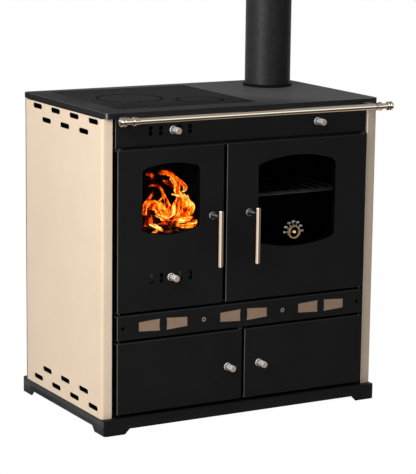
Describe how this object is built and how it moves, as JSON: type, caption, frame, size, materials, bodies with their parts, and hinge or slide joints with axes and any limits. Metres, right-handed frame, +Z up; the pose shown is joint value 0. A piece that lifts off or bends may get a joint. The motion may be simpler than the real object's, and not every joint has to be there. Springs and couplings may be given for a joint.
{
  "type": "wood-burning cookstove",
  "caption": "Free-standing wood-burning cookstove: firebox and oven behind glazed doors, hob with lift-off discs, wood store below, towel rail and flue pipe.",
  "frame": {"origin": "middle of the foot of the whole object's box, on the floor", "axes": "+Z up, -Y out of the stove's front (the doors and the rail), +X towards the oven side"},
  "size_m": [0.844, 0.596, 1.35],
  "materials": {
    "cream_paint": "smooth semi-gloss enamel",
    "black_paint": "satin stove paint",
    "tan_paint": "flat tan paint",
    "dark_sheet": "matt dark sheet",
    "flue_paint": "matt grey-black stove paint",
    "hob_iron": "ground and blackened",
    "raw_iron": "as cast",
    "gunmetal": "dark satin",
    "inner_steel": "plain sheet steel",
    "chrome": "polished",
    "copper_grip": "polished, copper tint",
    "copper_ring": "polished, copper tint",
    "pointer_red": "red paint",
    "window_glass": "dark ceramic glass",
    "firebrick": "rough fireclay",
    "rope": "woven sealing rope"
  },
  "bodies": {
    "stove": {"plinth": "black_paint", "side_panel_left": "cream_paint", "side_panel_right": "cream_paint", "back_panel": "dark_sheet", "inner_casing": "dark_sheet", "front_frame": "black_paint", "fascia_panel": "black_paint", "mid_strip": "black_paint", "mid_strip_inlay": "tan_paint", "top_plate": "hob_iron", "hob_plate_left": "hob_iron", "hob_plate_right": "hob_iron", "flue_collar": "hob_iron", "flue_pipe": "flue_paint", "rail_tube": "chrome", "rail_finial_left": "chrome", "rail_finial_right": "chrome", "rail_bracket_left": "chrome", "rail_bracket_right": "chrome", "firebox_shell": "inner_steel", "firebrick_left": "firebrick", "firebrick_right": "firebrick", "firebrick_back": "firebrick", "fire_grate": "raw_iron", "ash_pan": "inner_steel", "oven_box": "inner_steel", "oven_rack": "chrome", "flue_chamber": "inner_steel", "damper_guide": "chrome", "door_catch": "inner_steel"},
    "hob_disc_large": {"hob_disc_large": "hob_iron"},
    "hob_disc_small": {"hob_disc_small": "hob_iron"},
    "fire_door": {"fire_door_panel": "black_paint", "fire_door_glass": "window_glass", "fire_door_inner_frame": "raw_iron", "fire_door_gasket": "rope", "fire_door_hinge_rod": "inner_steel"},
    "fire_handle": {"fire_handle_grip": "copper_grip", "fire_handle_spindle": "gunmetal"},
    "fire_air_slider": {"fire_air_shutter": "dark_sheet", "fire_air_knob": "chrome"},
    "top_air_slider": {"top_air_shutter": "dark_sheet", "top_air_knob": "chrome"},
    "damper": {"damper_rod": "inner_steel", "damper_knob": "chrome"},
    "oven_door": {"oven_door_panel": "black_paint", "oven_door_glass": "window_glass", "oven_door_inner_frame": "raw_iron", "oven_door_gasket": "rope", "oven_door_hinge_rod": "inner_steel", "thermometer_case": "copper_ring"},
    "oven_handle": {"oven_handle_grip": "copper_grip", "oven_handle_spindle": "gunmetal"},
    "thermometer_pointer": {"thermometer_pointer": "pointer_red"},
    "lower_left_door": {"lower_left_door_panel": "black_paint", "lower_left_door_knob": "chrome", "lower_left_door_hinge_rod": "inner_steel"},
    "lower_right_door": {"lower_right_door_panel": "black_paint", "lower_right_door_knob": "chrome", "lower_right_door_hinge_rod": "inner_steel"}
  },
  "joints": [
    {"name": "hob_disc_large_lift", "type": "slide", "parent": "stove", "child": "hob_disc_large", "axis": [0, 0, 1], "range_m": [0, 0.15]},
    {"name": "hob_disc_small_lift", "type": "slide", "parent": "stove", "child": "hob_disc_small", "axis": [0, 0, 1], "range_m": [0, 0.15]},
    {"name": "fire_door_hinge", "type": "hinge", "parent": "stove", "child": "fire_door", "pos_m": [-0.374, -0.206, 0.537], "axis": [0, 0, -1], "range_deg": [0, 110]},
    {"name": "fire_handle_turn", "type": "hinge", "parent": "fire_door", "child": "fire_handle", "pos_m": [-0.101, -0.258, 0.562], "axis": [0, 1, 0], "range_deg": [0, 90]},
    {"name": "fire_air_slide", "type": "slide", "parent": "fire_door", "child": "fire_air_slider", "axis": [1, 0, 0], "range_m": [0, 0.008]},
    {"name": "top_air_slide", "type": "slide", "parent": "stove", "child": "top_air_slider", "axis": [-1, 0, 0], "range_m": [0, 0.008]},
    {"name": "damper_pull", "type": "slide", "parent": "stove", "child": "damper", "axis": [0, -1, 0], "range_m": [0, 0.06]},
    {"name": "oven_door_hinge", "type": "hinge", "parent": "stove", "child": "oven_door", "pos_m": [0.374, -0.206, 0.537], "axis": [0, 0, 1], "range_deg": [0, 110]},
    {"name": "oven_handle_turn", "type": "hinge", "parent": "oven_door", "child": "oven_handle", "pos_m": [0.012, -0.258, 0.562], "axis": [0, -1, 0], "range_deg": [0, 90]},
    {"name": "thermometer_needle", "type": "hinge", "parent": "oven_door", "child": "thermometer_pointer", "pos_m": [0.152, -0.215, 0.498], "axis": [0, 1, 0], "range_deg": [0, 180]},
    {"name": "lower_left_door_hinge", "type": "hinge", "parent": "stove", "child": "lower_left_door", "pos_m": [-0.374, -0.206, 0.1465], "axis": [0, 0, -1], "range_deg": [0, 110]},
    {"name": "lower_right_door_hinge", "type": "hinge", "parent": "stove", "child": "lower_right_door", "pos_m": [0.374, -0.206, 0.1465], "axis": [0, 0, 1], "range_deg": [0, 110]}
  ]
}
